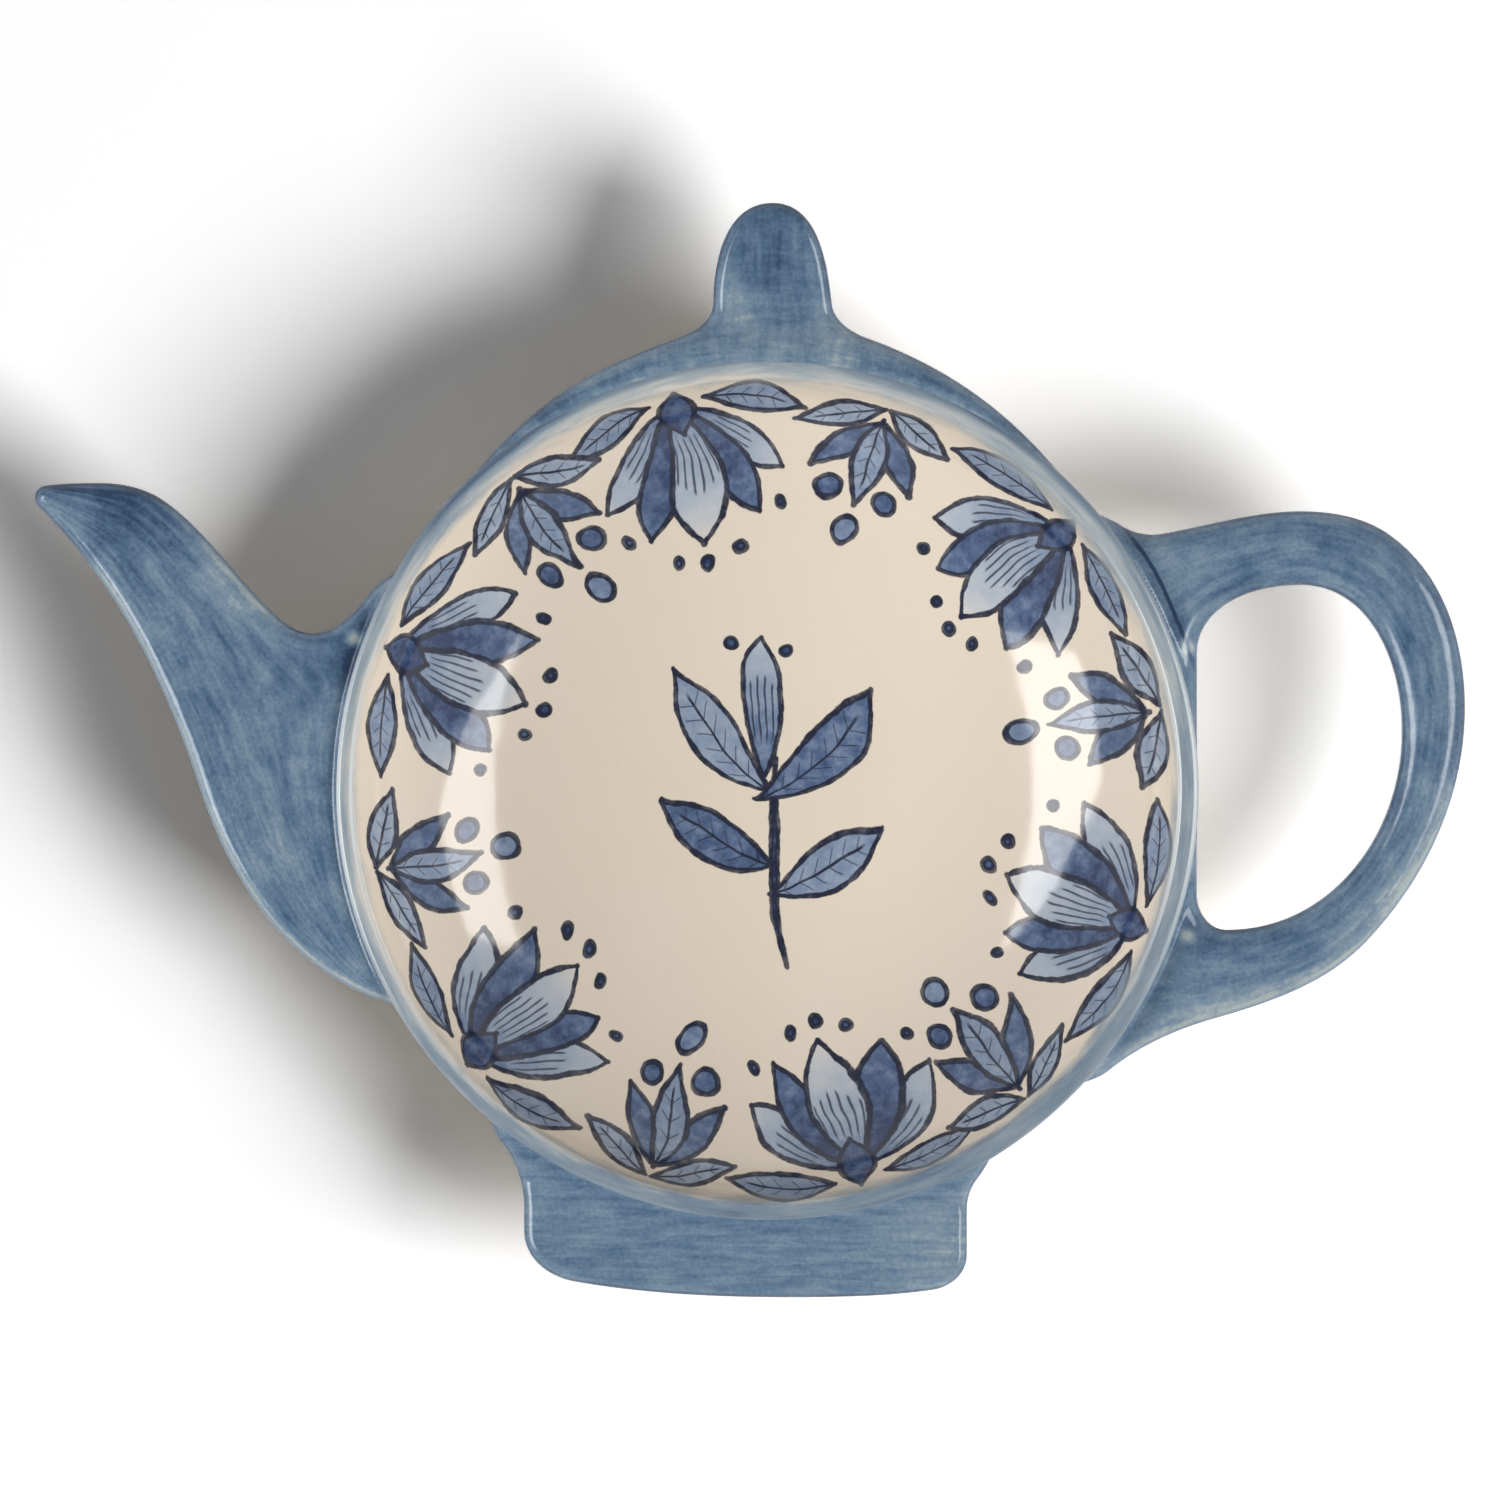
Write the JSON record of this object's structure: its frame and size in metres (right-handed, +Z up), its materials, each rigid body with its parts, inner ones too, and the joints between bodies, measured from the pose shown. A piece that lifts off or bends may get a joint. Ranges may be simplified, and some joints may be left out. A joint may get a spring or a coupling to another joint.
{
  "type": "tea dish",
  "caption": "Round shallow glazed dish on a turned foot ring, with flat spout, handle, knob and base tabs round its lip, for holding a used tea bag.",
  "frame": {"origin": "on the table, under the middle of the whole outline seen from above", "axes": "+X from the spout towards the handle, +Y from the base plinth towards the lid knob, +Z up out of the well"},
  "size_m": [0.127, 0.097, 0.018],
  "materials": {
    "cream_glaze": "clear gloss glaze over cream clay",
    "blue_glaze": "brushed blue wash under clear gloss glaze"
  },
  "bodies": {
    "root": {"dish_bowl": "cream_glaze", "foot_ring": "cream_glaze", "spout": "blue_glaze", "handle": "blue_glaze", "lid_knob": "blue_glaze", "base_plinth": "blue_glaze"}
  },
  "joints": []
}
